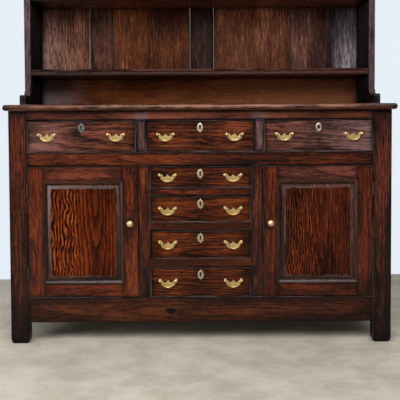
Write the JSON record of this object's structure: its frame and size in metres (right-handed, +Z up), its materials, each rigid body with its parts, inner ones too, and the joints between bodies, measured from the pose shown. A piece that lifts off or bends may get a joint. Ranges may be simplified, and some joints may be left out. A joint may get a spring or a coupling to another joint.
{
  "type": "oak dresser with plate rack",
  "caption": "Free-standing dark oak dresser: a base with drawers and panelled cupboard doors on stile feet, under an open plate rack with shelves and a cornice.",
  "frame": {"origin": "on the floor, midway between the ends and midway between the nose of the top and the back", "axes": "+X to the right of someone facing the dresser, +Y from the front to the back, +Z up"},
  "size_m": [1.48, 0.488, 1.939],
  "materials": {
    "oak_frame": "waxed dark oak",
    "oak_top": "waxed dark oak, worn nose",
    "oak_panel": "waxed dark oak, figured",
    "oak_drawer": "waxed dark oak",
    "oak_rack": "waxed dark oak",
    "oak_boards": "dry dark oak boards",
    "oak_inside": "unpolished oak",
    "brass": "old brass, rubbed",
    "hinge_iron": "dark iron"
  },
  "bodies": {
    "carcass": {"front_post_left": "oak_frame", "front_post_right": "oak_frame", "rear_posts": "oak_frame", "front_top_rail": "oak_frame", "front_middle_rail": "oak_frame", "front_bottom_rail": "oak_frame", "front_muntins": "oak_frame", "bank_rails": "oak_frame", "side_rails": "oak_frame", "back_rails": "oak_inside", "cupboard_floor": "oak_inside", "bank_partitions": "oak_inside", "drawer_runners": "oak_inside", "base_back_boards": "oak_inside", "rack_side_left": "oak_rack", "rack_side_right": "oak_rack", "rack_shelves": "oak_rack", "rack_cornice": "oak_rack", "side_panels": "oak_panel", "dresser_top": "oak_top", "rack_back_boards": "oak_boards", "rack_lower_board": "oak_boards", "hinge_frame_leaves": "hinge_iron"},
    "door_left": {"door_frame_left": "oak_frame", "door_panel_left": "oak_panel", "door_hinges_left": "hinge_iron"},
    "knob_left": {"door_knob_left": "brass"},
    "door_right": {"door_frame_right": "oak_frame", "door_panel_right": "oak_panel", "door_hinges_right": "hinge_iron"},
    "knob_right": {"door_knob_right": "brass"},
    "drawer_top_left": {"drawer_top_left": "oak_drawer", "drawer_top_left_brass": "brass"},
    "drawer_top_left_bail_left": {"drawer_top_left_bail_left": "brass"},
    "drawer_top_left_bail_right": {"drawer_top_left_bail_right": "brass"},
    "drawer_top_centre": {"drawer_top_centre": "oak_drawer", "drawer_top_centre_brass": "brass"},
    "drawer_top_centre_bail_left": {"drawer_top_centre_bail_left": "brass"},
    "drawer_top_centre_bail_right": {"drawer_top_centre_bail_right": "brass"},
    "drawer_top_right": {"drawer_top_right": "oak_drawer", "drawer_top_right_brass": "brass"},
    "drawer_top_right_bail_left": {"drawer_top_right_bail_left": "brass"},
    "drawer_top_right_bail_right": {"drawer_top_right_bail_right": "brass"},
    "drawer_bank_first": {"drawer_bank_first": "oak_drawer", "drawer_bank_first_brass": "brass"},
    "drawer_bank_first_bail_left": {"drawer_bank_first_bail_left": "brass"},
    "drawer_bank_first_bail_right": {"drawer_bank_first_bail_right": "brass"},
    "drawer_bank_second": {"drawer_bank_second": "oak_drawer", "drawer_bank_second_brass": "brass"},
    "drawer_bank_second_bail_left": {"drawer_bank_second_bail_left": "brass"},
    "drawer_bank_second_bail_right": {"drawer_bank_second_bail_right": "brass"},
    "drawer_bank_third": {"drawer_bank_third": "oak_drawer", "drawer_bank_third_brass": "brass"},
    "drawer_bank_third_bail_left": {"drawer_bank_third_bail_left": "brass"},
    "drawer_bank_third_bail_right": {"drawer_bank_third_bail_right": "brass"},
    "drawer_bank_fourth": {"drawer_bank_fourth": "oak_drawer", "drawer_bank_fourth_brass": "brass"},
    "drawer_bank_fourth_bail_left": {"drawer_bank_fourth_bail_left": "brass"},
    "drawer_bank_fourth_bail_right": {"drawer_bank_fourth_bail_right": "brass"}
  },
  "joints": [
    {"name": "door_left_hinge", "type": "hinge", "parent": "carcass", "child": "door_left", "pos_m": [-0.62775, -0.2185, 0.4115], "axis": [0, 0, -1], "range_deg": [0, 110]},
    {"name": "knob_left_turn", "type": "hinge", "parent": "door_left", "child": "knob_left", "pos_m": [-0.2555, -0.216, 0.4425], "axis": [0, -1, 0], "range_deg": [0, 90]},
    {"name": "door_right_hinge", "type": "hinge", "parent": "carcass", "child": "door_right", "pos_m": [0.62775, -0.2185, 0.4115], "axis": [0, 0, 1], "range_deg": [0, 110]},
    {"name": "knob_right_turn", "type": "hinge", "parent": "door_right", "child": "knob_right", "pos_m": [0.2555, -0.216, 0.4425], "axis": [0, 1, 0], "range_deg": [0, 90]},
    {"name": "drawer_top_left_slide", "type": "slide", "parent": "carcass", "child": "drawer_top_left", "axis": [0, -1, 0], "range_m": [0, 0.3]},
    {"name": "drawer_top_left_bail_left_swing", "type": "hinge", "parent": "drawer_top_left", "child": "drawer_top_left_bail_left", "pos_m": [-0.55497, -0.2275, 0.766], "axis": [-1, 0, 0], "range_deg": [-10, 100]},
    {"name": "drawer_top_left_bail_right_swing", "type": "hinge", "parent": "drawer_top_left", "child": "drawer_top_left_bail_right", "pos_m": [-0.30503, -0.2275, 0.766], "axis": [-1, 0, 0], "range_deg": [-10, 100]},
    {"name": "drawer_top_centre_slide", "type": "slide", "parent": "carcass", "child": "drawer_top_centre", "axis": [0, -1, 0], "range_m": [0, 0.3]},
    {"name": "drawer_top_centre_bail_left_swing", "type": "hinge", "parent": "drawer_top_centre", "child": "drawer_top_centre_bail_left", "pos_m": [-0.12497, -0.2275, 0.766], "axis": [-1, 0, 0], "range_deg": [-10, 100]},
    {"name": "drawer_top_centre_bail_right_swing", "type": "hinge", "parent": "drawer_top_centre", "child": "drawer_top_centre_bail_right", "pos_m": [0.12497, -0.2275, 0.766], "axis": [-1, 0, 0], "range_deg": [-10, 100]},
    {"name": "drawer_top_right_slide", "type": "slide", "parent": "carcass", "child": "drawer_top_right", "axis": [0, -1, 0], "range_m": [0, 0.3]},
    {"name": "drawer_top_right_bail_left_swing", "type": "hinge", "parent": "drawer_top_right", "child": "drawer_top_right_bail_left", "pos_m": [0.30503, -0.2275, 0.766], "axis": [-1, 0, 0], "range_deg": [-10, 100]},
    {"name": "drawer_top_right_bail_right_swing", "type": "hinge", "parent": "drawer_top_right", "child": "drawer_top_right_bail_right", "pos_m": [0.55497, -0.2275, 0.766], "axis": [-1, 0, 0], "range_deg": [-10, 100]},
    {"name": "drawer_bank_first_slide", "type": "slide", "parent": "carcass", "child": "drawer_bank_first", "axis": [0, -1, 0], "range_m": [0, 0.3]},
    {"name": "drawer_bank_first_bail_left_swing", "type": "hinge", "parent": "drawer_bank_first", "child": "drawer_bank_first_bail_left", "pos_m": [-0.119, -0.2275, 0.618], "axis": [-1, 0, 0], "range_deg": [-10, 100]},
    {"name": "drawer_bank_first_bail_right_swing", "type": "hinge", "parent": "drawer_bank_first", "child": "drawer_bank_first_bail_right", "pos_m": [0.119, -0.2275, 0.618], "axis": [-1, 0, 0], "range_deg": [-10, 100]},
    {"name": "drawer_bank_second_slide", "type": "slide", "parent": "carcass", "child": "drawer_bank_second", "axis": [0, -1, 0], "range_m": [0, 0.3]},
    {"name": "drawer_bank_second_bail_left_swing", "type": "hinge", "parent": "drawer_bank_second", "child": "drawer_bank_second_bail_left", "pos_m": [-0.119, -0.2275, 0.497], "axis": [-1, 0, 0], "range_deg": [-10, 100]},
    {"name": "drawer_bank_second_bail_right_swing", "type": "hinge", "parent": "drawer_bank_second", "child": "drawer_bank_second_bail_right", "pos_m": [0.119, -0.2275, 0.497], "axis": [-1, 0, 0], "range_deg": [-10, 100]},
    {"name": "drawer_bank_third_slide", "type": "slide", "parent": "carcass", "child": "drawer_bank_third", "axis": [0, -1, 0], "range_m": [0, 0.3]},
    {"name": "drawer_bank_third_bail_left_swing", "type": "hinge", "parent": "drawer_bank_third", "child": "drawer_bank_third_bail_left", "pos_m": [-0.119, -0.2275, 0.373], "axis": [-1, 0, 0], "range_deg": [-10, 100]},
    {"name": "drawer_bank_third_bail_right_swing", "type": "hinge", "parent": "drawer_bank_third", "child": "drawer_bank_third_bail_right", "pos_m": [0.119, -0.2275, 0.373], "axis": [-1, 0, 0], "range_deg": [-10, 100]},
    {"name": "drawer_bank_fourth_slide", "type": "slide", "parent": "carcass", "child": "drawer_bank_fourth", "axis": [0, -1, 0], "range_m": [0, 0.3]},
    {"name": "drawer_bank_fourth_bail_left_swing", "type": "hinge", "parent": "drawer_bank_fourth", "child": "drawer_bank_fourth_bail_left", "pos_m": [-0.119, -0.2275, 0.232], "axis": [-1, 0, 0], "range_deg": [-10, 100]},
    {"name": "drawer_bank_fourth_bail_right_swing", "type": "hinge", "parent": "drawer_bank_fourth", "child": "drawer_bank_fourth_bail_right", "pos_m": [0.119, -0.2275, 0.232], "axis": [-1, 0, 0], "range_deg": [-10, 100]}
  ]
}
